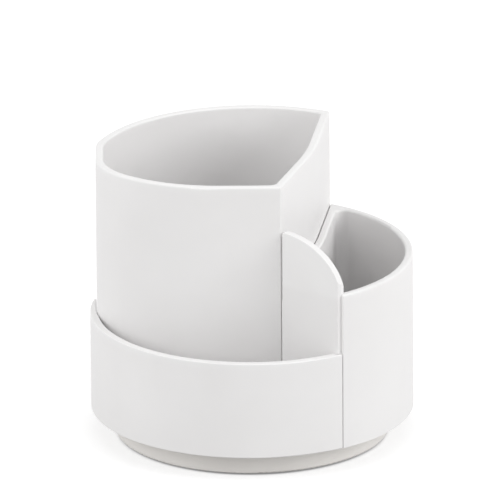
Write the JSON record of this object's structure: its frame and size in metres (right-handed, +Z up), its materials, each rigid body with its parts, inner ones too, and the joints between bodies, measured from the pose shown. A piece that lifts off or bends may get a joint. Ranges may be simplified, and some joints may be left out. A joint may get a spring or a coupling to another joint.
{
  "type": "rotating desk organizer",
  "caption": "Round desk organizer with open moulded bins of stepped height, seated on a ball-bearing turntable that spins freely on a smaller round base.",
  "frame": {"origin": "centre of the round footprint, on the surface that the feet stand on", "axes": "+Z up along the spin axis, -Y towards the front with the low tray, +X towards the pen bin"},
  "size_m": [0.156, 0.156, 0.1386],
  "materials": {
    "bin_plastic": "satin moulded white",
    "base_plastic": "satin moulded off-white",
    "pad_rubber": "soft grey pad",
    "foot_rubber": "matte black",
    "race_steel": "pressed zinc-plated sheet",
    "fastener_steel": "zinc-plated",
    "ball_steel": "polished",
    "cage_plastic": "natural acetal"
  },
  "bodies": {
    "base": {"base_shell": "base_plastic", "base_plate": "base_plastic", "base_plate_screws": "fastener_steel", "non_slip_feet": "foot_rubber", "lower_race": "race_steel", "lower_race_screws": "fastener_steel", "pivot_bush": "cage_plastic"},
    "bearing_cage": {"ball_cage": "cage_plastic", "bearing_balls": "ball_steel"},
    "turntable": {"turntable_deck": "base_plastic", "upper_race": "race_steel", "upper_race_screws": "fastener_steel", "pivot_bolt": "fastener_steel", "thrust_washer": "cage_plastic", "pivot_lock_nut": "fastener_steel", "bin_seat_pads": "pad_rubber"},
    "tall_bin": {"tall_bin": "bin_plastic"},
    "pen_bin": {"pen_bin": "bin_plastic"},
    "front_tray": {"front_tray": "bin_plastic"}
  },
  "joints": [
    {"name": "turntable_spin", "type": "hinge", "parent": "base", "child": "turntable", "pos_m": [0, 0, 0.012], "axis": [0, 0, 1], "continuous": true},
    {"name": "cage_spin", "type": "hinge", "parent": "base", "child": "bearing_cage", "pos_m": [0, 0, 0.012], "axis": [0, 0, 1], "continuous": true},
    {"name": "tall_bin_lift", "type": "slide", "parent": "turntable", "child": "tall_bin", "axis": [0, 0, 1], "range_m": [0, 0.13]},
    {"name": "pen_bin_lift", "type": "slide", "parent": "turntable", "child": "pen_bin", "axis": [0, 0, 1], "range_m": [0, 0.11]},
    {"name": "front_tray_lift", "type": "slide", "parent": "turntable", "child": "front_tray", "axis": [0, 0, 1], "range_m": [0, 0.06]}
  ],
  "couplings": [
    {"joint": "cage_spin", "follows": "turntable_spin", "ratio": 0.5}
  ]
}
